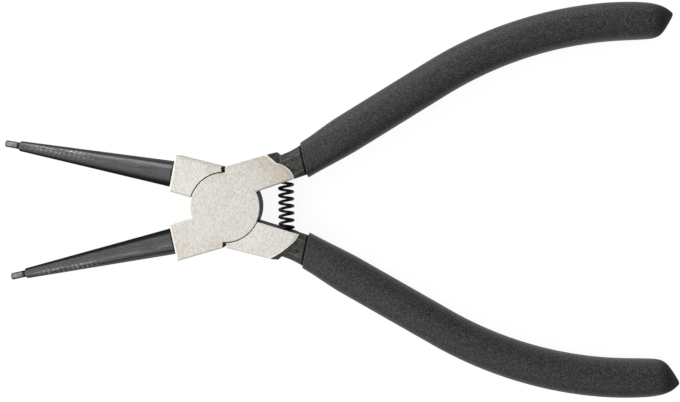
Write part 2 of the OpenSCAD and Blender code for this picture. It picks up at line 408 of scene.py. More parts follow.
@dataclass(frozen=True)
class Head:
    """Sizes of the head, the jaws and the ground faces, in millimetres and degrees."""

    thick: float = 9.5
    chamfer: float = 0.35
    mid_blur: float = 0.1
    jaw_angle: float = 11.4
    jaw_offset: float = 5.9
    shoulder: float = 15.2
    jaw_len_front: float = 41.0
    jaw_len_rear: float = 42.0
    jaw_base_d: float = 7.1
    jaw_nose_d: float = 2.75
    # The ends of the flat ground faces of the roots, and what stands for far inside them on the bosses.
    root_x: Span = (3.0, 4.0)
    far_inside: float = -9.0
    blend_x: float = 6.0
    face_r_lap: float = 14.6
    face_dir: float = 51.5
    face_out: float = 17.6
    face_r_disc: float = 40.0
    # The polished lip past those ends.
    lip: float = 0.65
    trim: Point = (0.9, -8.9)
    trim_r: float = 25.0
    corner: Point = (12.5, 5.5)
    corner_r: float = 6.0

    @property
    def mid(self) -> float:
        """Height of the mid-plane."""
        return self.thick / 2

    def jaw_len(self, side: Side) -> float:
        """Gives the length of a half's jaw from the shoulder to the nose."""
        return self.jaw_len_front if side is Side.FRONT else self.jaw_len_rear

    def nose(self, side: Side) -> tuple[np.ndarray, np.ndarray]:
        """Works out the middle of a nose and the jaw's direction.

        Args:
            side: The half.

        Returns:
            The point and the direction, drawn for the front half about the mid-plane.
        """
        turn = math.radians(180 + self.jaw_angle)
        along = np.array([math.cos(turn), math.sin(turn), 0.0])
        out = np.array([-math.sin(turn), math.cos(turn), 0.0])
        return along * (self.shoulder + self.jaw_len(side)) + out * self.jaw_offset, along

    def on_top(self, at: Shade) -> Shade:
        """Gives the share that is 1 over the mid-plane and 0 under it."""
        return at.axis("Z").ramp(self.mid - self.mid_blur, self.mid + self.mid_blur)

    def jaw_axes(self, at: Shade) -> tuple[Shade, Shade]:
        """Works out where a point of a material lies on its jaw.

        Args:
            at: Coordinates in millimetres.

        Returns:
            The length along the jaw from the pivot, and the distance outwards from the jaw's axis.
        """
        turn = math.radians(self.jaw_angle)
        x, y = at.axis("X"), abs(at.axis("Y"))
        along = y * math.sin(turn) - x * math.cos(turn)
        outward = y * math.cos(turn) + x * math.sin(turn) - self.jaw_offset
        return along, outward

    def past_end(self, at: Shade, side: Side) -> tuple[Shade, Shade]:
        """Works out how far a point of a material lies past the end of the root's ground face.

        The flat face ends on one circle on the side of the half's own disc and on another on the other
        side. Grinding has polished a lip past it: along the second circle, where a larger circle trims it
        towards the outer side, and at the inner corner, which a small circle rounds, on the first.

        Args:
            at: Coordinates in millimetres.
            side: The half.

        Returns:
            The distance past the flat face and past its lip, both far below 0 on the boss.
        """
        nodes = at.nodes
        x, y = at.axis("X"), abs(at.axis("Y"))
        turn = math.radians(self.face_dir)
        back = self.face_r_disc - self.face_out
        disc = past_circle(x, y, (-back * math.cos(turn), -back * math.sin(turn)), self.face_r_disc)
        disc_lip = disc.smaller(past_circle(x, y, self.corner, self.corner_r))
        lap = past_circle(x, y, (self.blend_x, 0.0), self.face_r_lap)
        lap_lip = (lap - self.lip).larger(past_circle(x, y, self.trim, self.trim_r))
        on_disc = self.on_top(at) if side is Side.FRONT else 1 - self.on_top(at)
        on_root = x.ramp(*self.root_x)
        flat = nodes.blend(on_root, self.far_inside, nodes.blend(on_disc, lap, disc))
        lip = nodes.blend(on_root, self.far_inside, nodes.blend(on_disc, lap_lip, disc_lip))
        return flat, lip


@dataclass(frozen=True)
class HandleLine:
    """The line of a handle, a straight and a bend, drawn for the front half about the mid-plane."""

    angle: float = 30.7
    offset: float = -0.3
    straight: float = 65.7
    bend_r: float = 103.0
    bend: float = 29.0
    tang: float = 4.9
    grip_start: float = 24.0
    grip_slant: float = 18.5

    @property
    def arc(self) -> float:
        """Length of the bend."""
        return self.bend_r * math.radians(self.bend)

    @property
    def end(self) -> float:
        """Length from the pivot to the end of the bar."""
        return self.straight + self.arc + self.tang

    @property
    def slant(self) -> float:
        """How far the front end of the grip moves along the line for each millimetre outwards."""
        return math.tan(math.radians(self.grip_slant))

    def at(self, s: np.ndarray, out: np.ndarray, z: np.ndarray) -> np.ndarray:
        """Works out points beside the line.

        The line runs straight, then along a circle that bends to the centre line, then straight again. A
        point lies at length s on it, a distance out along its normal and z over the mid-plane.

        Args:
            s: Lengths from the pivot.
            out: Distances outwards.
            z: Heights over the mid-plane.

        Returns:
            Array of the points, with x, y and z on the last axis.
        """
        turn = np.clip((s - self.straight) / self.bend_r, 0, math.radians(self.bend))
        past = np.maximum(s - self.straight - self.arc, 0)
        cos, sin = np.cos(turn), np.sin(turn)
        x = np.minimum(s, self.straight) + self.bend_r * sin + past * cos + out * sin
        y = self.offset - self.bend_r * (1 - cos) - past * sin + out * cos
        a = math.radians(self.angle)
        return np.stack([x * math.cos(a) - y * math.sin(a), x * math.sin(a) + y * math.cos(a), z], -1)

    def behind_front(self, at: Shade) -> Shade:
        """Works out how far a point of a material lies behind the slanted front end of its grip."""
        a = math.radians(self.angle)
        x, y = at.axis("X"), abs(at.axis("Y"))
        along = x * math.cos(a) + y * math.sin(a)
        out = y * math.cos(a) - x * math.sin(a) - self.offset
        return along - out * self.slant - self.grip_start


@dataclass(frozen=True)
class GroundSteel:
    """Finish of the ground faces and the rivet: bright steel with speckled grain and faint blotches."""

    bright: Colour = colour(216, 211, 203)
    warm: Colour = colour(198, 186, 165)
    cool: Colour = colour(218, 216, 213)
    dull: Colour = colour(172, 166, 156)
    grain: Grain = Grain(1.3, 3.0, 0.6)
    grain_stretch: tuple[float, float, float] = (1.9, 1.0, 1.9)
    grain_gain: float = 1.9
    grit: Grain = Grain(3.2, 2.0, 0.6)
    grit_gain: float = 2.3
    blotch: Grain = Grain(0.45)
    blotched: Span = (0.35, 0.65)
    speck_level: float = 0.56
    speck_share: float = 0.38
    rough: float = 0.44
    rough_spread: float = 0.25
    grain_height: float = 0.6
    grit_height: float = 0.4
    depth: float = 0.015
    # Tints: square of the distance from the pivot, the notches, and what each half has of both.
    far_square: Span = (60.0, 300.0)
    notch: Point = (-2.0, 10.0)
    notch_square: Span = (14.0, 1.0)
    notch_warm: float = 0.5
    root_x: Span = (0.0, 10.0)
    root_warm: float = 0.5
    front_warm: float = 0.45
    front_pale: float = 0.1
    rear_warm: float = 0.15
    rear_pale: float = 0.4

    def tint(self, at: Shade, side: Side) -> tuple[Shade, float]:
        """Works out the tint of a half's ground faces: warm far from the pivot and by the notches.

        Args:
            at: Coordinates in millimetres.
            side: The half.

        Returns:
            The share of the warm tint and the share of the pale one.
        """
        x, y = at.axis("X"), abs(at.axis("Y"))
        far = (x * x + y * y).ramp(*self.far_square)
        off_notch = (x - self.notch[0]) ** 2 + (y - self.notch[1]) ** 2
        notch = off_notch.ramp(*self.notch_square) * self.notch_warm
        if side is Side.FRONT:
            share = x.ramp(*self.root_x) * self.root_warm + self.front_warm
            return far * share + notch, self.front_pale
        return far * self.rear_warm + notch, self.rear_pale

    def shade(self, at: Shade, warmth: Any, light: float) -> tuple[Shade, Shade, Shade]:
        """Works out the ground steel.

        Args:
            at: Coordinates in millimetres.
            warmth: Share of the warm tint, from 0 to 1.
            light: Share of the pale tint, from 0 to 1.

        Returns:
            Colour, roughness and the height of the grain.
        """
        nodes = at.nodes
        stretched = nodes.make("ShaderNodeMapping", {}, {"Vector": at, "Scale": self.grain_stretch})
        grain = self.grain.noise(stretched)
        grit = self.grit.noise(at)
        base = nodes.mix(self.blotch.noise(at).ramp(*self.blotched), self.cool, self.bright)
        base = nodes.mix(light, base, PALE_STEEL_AND_HIGHLIGHT)
        base = nodes.mix(warmth, base, self.warm)
        speck = (grain - 0.5) * self.grain_gain + (grit - 0.5) * self.grit_gain + self.speck_level
        tone = nodes.mix(speck.ramp(0.0, 1.0), self.dull, PALE_STEEL_AND_HIGHLIGHT)
        base = nodes.mix(self.speck_share, base, tone)
        rough = self.rough + (grain - 0.5) * self.rough_spread
        return base, rough, grain * self.grain_height + grit * self.grit_height

    def rivet(self) -> bpy.types.Material:
        """Makes the material of the rivet, which is ground flush with the faces."""
        material, nodes = new_material("ground_steel")
        base, rough, grain = self.shade(nodes.place(), 0.0, self.front_pale)
        nodes.surface({
            "Base Color": base,
            "Roughness": rough,
            "Metallic": 1.0,
            "Normal": nodes.bump(grain, self.depth),
        })
        return material


@dataclass(frozen=True)
class JawBands:
    """Where a jaw's light is painted, in shares of its radius: highlight band, shade line and two rows of
    glints.
    """

    rub: float
    shade_line: float
    rows: tuple[float, float]


@dataclass(frozen=True)
class TurnedSteel:
    """Finish of the jaws: black oxide, streaked, with painted highlight and shade and painted glints on
    turning marks.
    """

    # Lighter on the outer side and darker on the inner side: painted highlight and painted shade.
    outer: Colour = colour(96, 97, 97)
    inner: Colour = colour(70, 71, 72)
    outer_side: Span = (-0.75, 0.45)
    starts: Span = (0.0, 0.25)
    front: JawBands = JawBands(0.32, 0.68, (0.3, 0.64))
    rear: JawBands = JawBands(0.52, 0.8, (0.1, 0.52))
    streak: Grain = Grain(1.0, 3.0, 0.6)
    streak_along: float = 0.12
    streak_across: float = 1.8
    dust: Grain = Grain(3.2, 2.0, 0.6)
    streaked: Layer = Layer((0.6, 0.35), 0.6, BLACK_OXIDE)
    dusted: Layer = Layer((0.45, 0.8), 0.12, RUBBED_STEEL_AND_HIGHLIGHT)
    # Painted highlight: a faint light band along the jaw.
    painted_highlight: Layer = Layer((0.28, 0.06), 0.06, RUBBED_STEEL_AND_HIGHLIGHT)
    highlight_streaks: Span = (0.3, 0.6)
    # Painted shade: a dark line near the outer edge, the inner side, and a ring at the base by the shoulder.
    painted_shade_line: Layer = Layer((0.14, 0.04), 0.5, SOOT_AND_SHADE)
    inner_shade: Layer = Layer((-0.5, -0.8), 0.75, SOOT_AND_SHADE)
    collar_shade: Layer = Layer((0.9, 0.3), 0.85, SOOT_AND_SHADE)
    # Turning marks: where they begin on the jaw, how they come and go, and the rings of the tool.
    marks_from: float = 0.55
    marks_come: Span = (-4.0, 3.0)
    marks_go: Span = (-1.0, -7.0)
    ring_pitch: float = 1.3
    ring_height: float = 0.8
    fine_pitch: float = 0.31
    fine_height: float = 0.15
    depth: float = 0.05
    dash_width: Span = (0.17, 0.07)
    dash_dust: Span = (0.42, 0.6)
    dash_streaks: Span = (0.3, 0.55)
    # Painted glints: light dashes on the crests of the turning marks.
    painted_glints: Layer = Layer((0.1, 0.45), 0.5, RUBBED_STEEL_AND_HIGHLIGHT)
    rough_inner: float = 0.46
    rough_outer: float = 0.42
    rough_spread: float = 0.2

    def shade(self, at: Shade, head: Head, side: Side) -> tuple[Shade, Shade, Shade, Shade]:
        """Works out the turned jaws.

        Args:
            at: Coordinates in millimetres.
            head: Sizes of the head and the jaws.
            side: The half, for the length of its jaw.

        Returns:
            Where the jaw is, its colour, its roughness and the height of the turning marks.
        """
        nodes = at.nodes
        length = head.jaw_len(side)
        along, outward = head.jaw_axes(at)
        past = along - head.shoulder
        taper = (head.jaw_nose_d - head.jaw_base_d) / 2 / length
        across = outward / (past * taper + head.jaw_base_d / 2)
        outer = across.ramp(*self.outer_side)
        wide, deep = outward * self.streak_across, at.axis("Z") * self.streak_across
        stretched = nodes.make("ShaderNodeCombineXYZ", {}, {0: along * self.streak_along, 1: wide, 2: deep})
        streak = self.streak.noise(stretched)
        dust = self.dust.noise(at)
        bands = self.front if side is Side.FRONT else self.rear
        base = nodes.mix(outer, self.inner, self.outer)
        base = self.streaked.over(base, streak)
        base = self.dusted.over(base, dust)
        # Painted highlight band along the jaw.
        base = self.painted_highlight.over(base, abs(across - bands.rub), streak.ramp(*self.highlight_streaks))
        # Painted shade on the dark line, the inner side and the base.
        base = self.painted_shade_line.over(base, abs(across - bands.shade_line))
        base = self.inner_shade.over(base, across)
        base = self.collar_shade.over(base, past)
        from_start = past - length * self.marks_from
        marks = from_start.ramp(*self.marks_come) * (past - length).ramp(*self.marks_go)
        rings = along.wave(self.ring_pitch)
        first, second = (abs(across - row).ramp(*self.dash_width) for row in bands.rows)
        dashes = (first + second) * marks * dust.ramp(*self.dash_dust) * streak.ramp(*self.dash_streaks)
        # Painted glints on the turning marks.
        base = self.painted_glints.over(base, rings, dashes)
        rough = nodes.blend(outer, self.rough_inner, self.rough_outer) + (dust - 0.5) * self.rough_spread
        height = marks * rings * self.ring_height + along.wave(self.fine_pitch) * self.fine_height
        return past.ramp(*self.starts), base, rough, height


@dataclass(frozen=True)
class Zones:
    """Where a half has its finishes: shares of ground steel, lip and walls, and the way past the lip."""

    ground: Shade
    lip: Shade
    upright: Shade
    past_lip: Shade


@dataclass(frozen=True)
class ForgedSteel:
    """Finish of a half: black oxide, with ground bright faces on the head and turned jaws."""

    ground: GroundSteel = GroundSteel()
    turned: TurnedSteel = TurnedSteel()
    # Where the half is ground.
    ragged: float = 0.12
    ground_fade: float = 0.1
    flank_out: Span = (3.6, 4.0)
    flank_along: Span = (3.0, 3.6)
    wall: Span = (0.4, 0.15)
    lip_start: Span = (-0.02, 0.04)
    lip_end: Span = (0.06, -0.02)
    lip_height: Span = (1.9, 2.3)
    # The edges and the lip of the ground faces: painted shade on edges to +Y, painted highlight on edges
    # across.
    edge_round: float = 0.15
    edge_wear: float = 0.45
    upper_edge_shade: Colour = colour(160, 149, 134)
    upper_edge_shade_y: Span = (3.0, 5.0)
    upper_edge_shade_share: float = 0.7
    side_edge_highlight_share: float = 0.85
    # The lip is ground steel, painted paler against the shade of its slope.
    lip: Colour = colour(250, 240, 220)
    lip_painted_light_share: float = 0.6
    lip_lift: float = 4.0
    # Painted highlight line along the end of the lip.
    lip_edge_highlight: Layer = Layer((-0.5, -0.25), 0.8, PALE_STEEL_AND_HIGHLIGHT)
    slope_dull: float = 0.6
    # The black oxide.
    scale: Grain = Grain(0.9, 4.0, 0.6)
    dust: Grain = Grain(5.0)
    pits: Grain = Grain(0.55, 3.0, 0.6)
    brown: Colour = colour(78, 75, 73)
    browned: Span = (0.3, 0.7)
    scuffed: Layer = Layer((0.5, 0.7), 0.5, WORN_STEEL)
    pitted: Layer = Layer((0.46, 0.34), 0.6, SOOT_AND_SHADE)
    worn_edges: Layer = Layer((0.25, 0.5), 0.8, WORN_STEEL)
    # Upright walls near black: the blackened walls, with painted shade over them.
    wall_black_and_shade_share: float = 0.95
    # Painted shadow on the bar just in front of each grip.
    grip_front_shadow: Layer = Layer((-0.75, -0.3), 1.0, SOOT_AND_SHADE)
    rough: float = 0.62
    rough_scale: float = 0.25
    rough_dust: float = 0.2
    scale_height: float = 0.6
    pit_height: float = 0.4
    depth: float = 0.12
    metal: float = 0.15
    jaw_metal: float = 0.75
    gloss: float = 0.12
    gloss_tint: Colour = (0.4, 0.4, 0.4, 1.0)

    def zones(self, at: Shade, scale: Shade, head: Head, side: Side) -> Zones:
        """Works out where a half is ground: on its faces, on the outer flank of its boss and on its lip.

        Args:
            at: Coordinates in millimetres.
            scale: Noise that makes the ground edge a little ragged.
            head: Sizes of the head and the jaws.
            side: The half.

        Returns:
            The zones.
        """
        height = abs(at.axis("Z") - head.mid) + (scale - 0.5) * self.ragged
        edge = head.mid - head.chamfer
        along, outward = head.jaw_axes(at)
        flank = outward.ramp(*self.flank_out) * along.ramp(*self.flank_along)
        face = height.ramp(edge - self.ground_fade, edge)
        ground = face + flank * height.ramp(edge, edge - self.ground_fade)
        upright = abs(at.nodes.plain_normal().axis("Z")).ramp(*self.wall)
        past_flat, past_lip = head.past_end(at, side)
        lip = past_flat.ramp(*self.lip_start) * (1 - upright) * height.ramp(*self.lip_height)
        return Zones(ground.larger(lip) * past_lip.ramp(*self.lip_end), lip, upright, past_lip)

    def bright(self, at: Shade, zones: Zones, edges: Edges, side: Side) -> tuple[Shade, Shade, Shade, Shade]:
        """Works out the ground steel of a half, its lip, and painted shade and highlight on its edges and
        lip.

        Args:
            at: Coordinates in millimetres.
            zones: Where the finishes are.
            edges: Where the edges are.
            side: The half.

        Returns:
            Colour, roughness, share of bare metal and the height of the grain.
        """
        nodes = at.nodes
        off_lip = 1 - zones.lip
        upper = edges.upper * off_lip * at.axis("Y").ramp(*self.upper_edge_shade_y)
        base, rough, grain = self.ground.shade(at, *self.ground.tint(at, side))
        # Painted shade on edges facing +Y.
        base = nodes.mix(upper * self.upper_edge_shade_share, base, self.upper_edge_shade)
        # Painted highlight on edges across the half.
        base = nodes.mix(edges.crosswise * off_lip * self.side_edge_highlight_share, base, PALE_STEEL_AND_HIGHLIGHT)
        # Painted light: the lip is paler against its own shade.
        base = nodes.mix(zones.lip * self.lip_painted_light_share, base, self.lip)
        # Painted highlight line at the end of the lip.
        base = self.lip_edge_highlight.over(base, zones.past_lip)
        metal = 1 - edges.tilted * (1 - upper) * off_lip * self.slope_dull
        return base, rough, metal, grain

    def oxide(self, at: Shade, scale: Shade, zones: Zones, edges: Edges) -> tuple[Shade, Shade, Shade]:
        """Works out the black oxide of a half.

        Args:
            at: Coordinates in millimetres.
            scale: Noise of the forging scale.
            zones: Where the finishes are.
            edges: Where the edges are.

        Returns:
            Colour, roughness and the height of the scale and the pits.
        """
        dust = self.dust.noise(at)
        pits = self.pits.noise(at)
        base = at.nodes.mix(scale.ramp(*self.browned), BLACK_OXIDE, self.brown)
        base = self.scuffed.over(base, dust * 0.5 + scale * 0.5)
        base = self.pitted.over(base, pits)
        base = self.worn_edges.over(base, scale, edges.bent)
        # Blackened upright walls with painted shade.
        base = at.nodes.mix(zones.upright * self.wall_black_and_shade_share, base, SOOT_AND_SHADE)
        rough = self.rough + (scale - 0.5) * self.rough_scale + (dust - 0.5) * self.rough_dust
        return base, rough, scale * self.scale_height + pits * self.pit_height

    def material(self, head: Head, line: HandleLine, side: Side) -> bpy.types.Material:
        """Makes the material of one half.

        Args:
            head: Sizes of the head and the jaws.
            line: The line of the handle, for the painted shadow on the bar in front of the grip.
            side: The half.

        Returns:
            The material.
        """
        material, nodes = new_material(f"forged_steel_{side.value}")
        at = nodes.place()
        scale = self.scale.noise(at)
        zones = self.zones(at, scale, head, side)
        edges = nodes.edges(self.edge_wear)
        bright, bright_rough, bright_metal, grain = self.bright(at, zones, edges, side)
        on_jaw, jaw, jaw_rough, marks = self.turned.shade(at, head, side)
        oxide, oxide_rough, forged = self.oxide(at, scale, zones, edges)
        # Painted shadow on the bar in front of the grip.
        oxide = self.grip_front_shadow.over(oxide, line.behind_front(at))
        base = nodes.mix(zones.ground, nodes.mix(on_jaw, oxide, jaw), bright)
        rough = nodes.blend(zones.ground, nodes.blend(on_jaw, oxide_rough, jaw_rough), bright_rough)
        metal = nodes.blend(zones.ground, on_jaw * self.jaw_metal + self.metal, bright_metal)
        lift = (head.on_top(at) * 2 - 1) * zones.lip * zones.ground * self.lip_lift
        normal = nodes.bevel(self.edge_round) + nodes.make("ShaderNodeCombineXYZ", {}, {"Z": lift})
        normal = nodes.bump(forged * (1 - zones.ground) * (1 - on_jaw), self.depth, normal)
        normal = nodes.bump(marks * on_jaw, self.turned.depth, normal)
        normal = nodes.bump(grain * zones.ground, self.ground.depth, normal)
        nodes.surface({
            "Base Color": base,
            "Roughness": rough,
            "Metallic": metal,
            "Normal": normal,
            "Specular IOR Level": self.gloss,
            "Specular Tint": self.gloss_tint,
        })
        return material


@dataclass(frozen=True)
class BlackWire:
    """Finish of the spring: black oxide on drawn wire."""

    black: Colour = colour(12, 12, 12)
    wear: Grain = Grain(2.0, 3.0, 0.6)
    worn: Layer = Layer((0.5, 0.75), 0.5, colour(44, 41, 38))
    dust: Grain = Grain(12.0)
    rough: float = 0.5
    rough_spread: float = 0.3
    depth: float = 0.01
    gloss: float = 0.25

    def material(self) -> bpy.types.Material:
        """Makes the material."""
        material, nodes = new_material("black_wire")
        at = nodes.place()
        dust = self.dust.noise(at)
        nodes.surface({
            "Base Color": self.worn.over(self.black, self.wear.noise(at)),
            "Roughness": self.rough + (dust - 0.5) * self.rough_spread,
            "Normal": nodes.bump(dust, self.depth),
            "Specular IOR Level": self.gloss,
        })
        return material


@dataclass(frozen=True)
class DippedVinyl:
    """Finish of the grips: matt charcoal vinyl with a fine sandy grain."""

    dark: Colour = colour(10, 10, 11)
    mid: Colour = colour(51, 52, 53)
    sand: Grain = Grain(2.3, 3.0, 0.65)
    sandy: Span = (0.38, 0.6)
    grit: Grain = Grain(6.0, 2.0, 0.6)
    specks: Layer = Layer((0.53, 0.64), 0.55, colour(104, 106, 109))
    cloud: Grain = Grain(0.12, 3.0)
    blue: Colour = colour(42, 44, 52)
    blue_above: float = 0.3
    blue_share: float = 0.4
    # Painted shade: near black towards the nibs.
    nib_shade: Layer = Layer((112.0, 117.0), 0.95, colour(8, 8, 8))
    rough: float = 0.55
    rough_spread: float = 0.3
    nib_rough: float = 0.3
    sand_height: float = 0.6
    grit_height: float = 0.4
    depth: float = 0.06
    gloss: float = 0.5

    def material(self) -> bpy.types.Material:
        """Makes the material, darker towards the nibs with painted shade."""
        material, nodes = new_material("dipped_vinyl")
        at = nodes.place()
        sand = self.sand.noise(at)
        grit = self.grit.noise(at)
        x = at.axis("X")
        base = nodes.mix(sand.ramp(*self.sandy), self.dark, self.mid)
        base = self.specks.over(base, sand * 0.5 + grit * 0.5)
        base = nodes.mix((self.cloud.noise(at) - self.blue_above) * self.blue_share, base, self.blue)
        # Painted shade towards the nib.
        base = self.nib_shade.over(base, x)
        toward_nib = x.ramp(*self.nib_shade.span)
        nodes.surface({
            "Base Color": base,
            "Roughness": self.rough + (sand - 0.5) * self.rough_spread + toward_nib * self.nib_rough,
            "Normal": nodes.bump(sand * self.sand_height + grit * self.grit_height, self.depth),
            "Specular IOR Level": self.gloss,
        })
        return material


@dataclass(frozen=True)
class BareTipSteel:
    """Finish of the tips: bare hardened steel, brownish, with painted shade at the nose, the end and the
    flanks.
    """

    steel: Colour = colour(150, 147, 147)
    brown: Colour = colour(116, 112, 111)
    stain: Grain = Grain(0.9)
    stained: Span = (0.3, 0.7)
    # Painted shade: at the foot where the pin meets the nose, at the free end and on the flanks.
    foot: Layer = Layer((1.1, 0.5), 0.9, PAINTED_SHADE)
    end: Layer = Layer((3.4, 3.8), 0.5, PAINTED_SHADE)
    flank_shade: Layer = Layer((0.88, 0.55), 0.6, PAINTED_SHADE)
    dust: Grain = Grain(7.0)
    rough: float = 0.3
    rough_spread: float = 0.2
    depth: float = 0.006
    metal: float = 0.95
    gloss_tint: Colour = (0.3, 0.3, 0.3, 1.0)

    def material(self, head: Head, side: Side) -> bpy.types.Material:
        """Makes the material of one tip.

        Args:
            head: Sizes of the head and the jaws.
            side: The half, for the length of its jaw.

        Returns:
            The material.
        """
        material, nodes = new_material(f"bare_tip_steel_{side.value}")
        at = nodes.place()
        along, _ = head.jaw_axes(at)
        past = along - (head.shoulder + head.jaw_len(side))
        dust = self.dust.noise(at)
        base = nodes.mix(self.stain.noise(at).ramp(*self.stained), self.steel, self.brown)
        # Painted shade at the foot, the end and the flanks.
        base = self.foot.over(base, past)
        base = self.end.over(base, past)
        base = self.flank_shade.over(base, abs(at.axis("Z") - head.mid))
        nodes.surface({
            "Base Color": base,
            "Roughness": self.rough + (dust - 0.5) * self.rough_spread,
            "Metallic": self.metal,
            "Normal": nodes.bump(dust, self.depth),
            "Specular Tint": self.gloss_tint,
        })
        return material


@dataclass
class Grip:
    """A dipped grip: a rounded-square sleeve along the bar, slanted in front and drawn to a nib behind."""

    side: Side
    head: Head
    line: HandleLine
    bar_w: float = 7.8
    bar_t: float = 6.8
    bar_chamfer: float = 1.8
    gap: float = 0.05
    wall: float = 1.3
    front_wall: float = 0.65
    lip: float = 0.3
    swell: float = 14.0
    square: float = 2.4
    front_square: float = 3.0
    nib_len: float = 9.2
    nib_lead: float = 4.0
    nib_sharp: float = 2.05
    nib_sharp_out: float = 1.8
    nib_shoulder: float = 6.0
    nib_shoulder_out: float = 2.3
    nib_shift: float = 1.2
    nib_blunt: float = 0.5
    nib_pole: float = 0.001
    bore_lead: float = 2.0
    bore_pole: float = 0.02
    edge_points: int = 12
    lip_rings: int = 10
    swell_rings: int = 30
    sleeve_rings: int = 90
    nib_rings: int = 40
    bore_rings: int = 60
    sharp: float = 70.0

    def _bore(self) -> np.ndarray:
        """Works out the octagon of the bar with the gap round it, with edge_points points to an edge."""
        w, t, c = self.bar_w / 2 + self.gap, self.bar_t / 2 + self.gap, self.bar_chamfer
        corners = np.array([[w, c - t], [w, t - c], [w - c, t], [c - w, t],
                            [-w, t - c], [-w, c - t], [c - w, -t], [w - c, -t]])
        share = np.linspace(0, 1, self.edge_points, endpoint=False)[None, :, None]
        ahead = np.roll(corners, -1, axis=0)
        return (corners[:, None] * (1 - share) + ahead[:, None] * share).reshape(-1, 2)

    def _taper(self, s: np.ndarray, sharp: float, shoulder: float) -> np.ndarray:
        """Works out the share of the width that is left: a cone with a round point and a softened shoulder.

        Args:
            s: Lengths from the pivot.
            sharp: Steepness of the cone.
            shoulder: Hardness of the shoulder in front of the nib.

        Returns:
            The shares, from 1 on the sleeve to 0 at the nib's point.
        """
        slope = sharp / self.nib_len
        cone = slope * (self.line.end + self.nib_len - self.nib_blunt - s)
        left = np.sqrt(cone * (cone + 2 * slope * self.nib_blunt))
        return (1 + left ** -shoulder) ** (-1 / shoulder)

    def _step(self, s: np.ndarray) -> np.ndarray:
        """Works out the smooth step from 0 at the front end to 1 where the sleeve has its full width."""
        k = np.clip((s - self.line.grip_start) / self.swell, 0, 1)
        return k * k * (3 - 2 * k)

    def _outer(self, s: np.ndarray, inset: np.ndarray, angle: np.ndarray) -> np.ndarray:
        """Works out the outer skin.

        Its section is a rounded square: the radius at an angle is the one at which the powers of both
        shares of the half widths sum to one. A smooth step swells it behind the front end, which slants,
        and the taper, softer on the outer side, draws it to the nib and shifts it outwards there.

        Args:
            s: Lengths from the pivot, one to a ring.
            inset: How far each ring lies inside the skin, for the round lip.
            angle: Directions of the points round a ring.

        Returns:
            Array of rings by points by x, y and z.
        """
        s, inset = s[:, None], inset[:, None]
        cos, sin = np.cos(angle), np.sin(angle)
        taper, step = self._taper(s, self.nib_sharp, self.nib_shoulder), self._step(s)
        outer = self._taper(s, self.nib_sharp_out, self.nib_shoulder_out)
        side = np.where(cos > 0, outer, taper)
        front = self.bar_w / 2 + self.front_wall
        full = self.bar_w / 2 + self.wall
        a = (front + (full - front) * step) * side - inset
        b = (self.bar_t / 2 + self.wall + (front - full) * (1 - step) / 2) * taper - inset
        power = self.front_square + (self.square - self.front_square) * step
        radius = ((np.abs(cos) / a) ** power + (np.abs(sin) / b) ** power) ** (-1 / power)
        out, z = radius * cos, radius * sin
        slide = out * self.line.slant * (1 - step)
        return self.line.at(s + slide, out + self.nib_shift * (1 - taper), z)

    def _skin(self, angle: np.ndarray) -> np.ndarray:
        """Works out the rings of the skin: a quarter circle over the lip, the sleeve, and the nib.

        Args:
            angle: Directions of the points round a ring.

        Returns:
            Array of rings by points by x, y and z.
        """
        quarter = np.linspace(0, math.pi / 2, self.lip_rings, endpoint=False)
        lip_s = self.line.grip_start + self.lip * (1 - np.cos(quarter))
        lip_in = self.lip * (1 - np.sin(quarter))
        front = self.line.grip_start + self.lip
        back = self.line.end - self.nib_lead
        swell_s = np.linspace(front, front + self.swell, self.swell_rings)
        sleeve_s = np.linspace(front + self.swell, back, self.sleeve_rings)[1:]
        reach = self.nib_len - self.nib_blunt - self.nib_pole + self.nib_lead
        nib_s = back + reach * (1 - (1 - np.linspace(0, 1, self.nib_rings)) ** 2)
        s = np.concatenate([lip_s, swell_s, sleeve_s, nib_s[1:]])
        inset = np.concatenate([lip_in, np.zeros(len(s) - len(lip_s))])
        return self._outer(s, inset, angle)

    def build(self) -> bpy.types.Object:
        """Makes the mesh, from the floor of the bore out to the lip and along the skin to the nib."""
        bore = self._bore()
        across, up = bore[:, 0], bore[:, 1]
        floor = self.line.end + self.gap
        mouth_s = self.line.grip_start + self.lip + self.bore_lead
        inner_s = np.concatenate([[floor], np.linspace(floor, mouth_s, self.bore_rings)])
        shrink = np.concatenate([[self.bore_pole], np.ones(self.bore_rings)])[:, None]
        slide = across * self.line.slant
        step = self._step(inner_s)[:, None]
        inner = self.line.at(inner_s[:, None] + slide * (1 - step), across * shrink, up * shrink)
        mouth = self.line.at(self.line.grip_start + slide, across, up)[None]
        rings = np.concatenate([inner, mouth, self._skin(np.arctan2(up, across))])
        piece = tube(f"{self.side.value}_grip_skin", self.side.place(rings, self.head.mid), self.sharp)
        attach(piece, self.side.value)
        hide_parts(f"{self.side.value}_grip")
        return piece


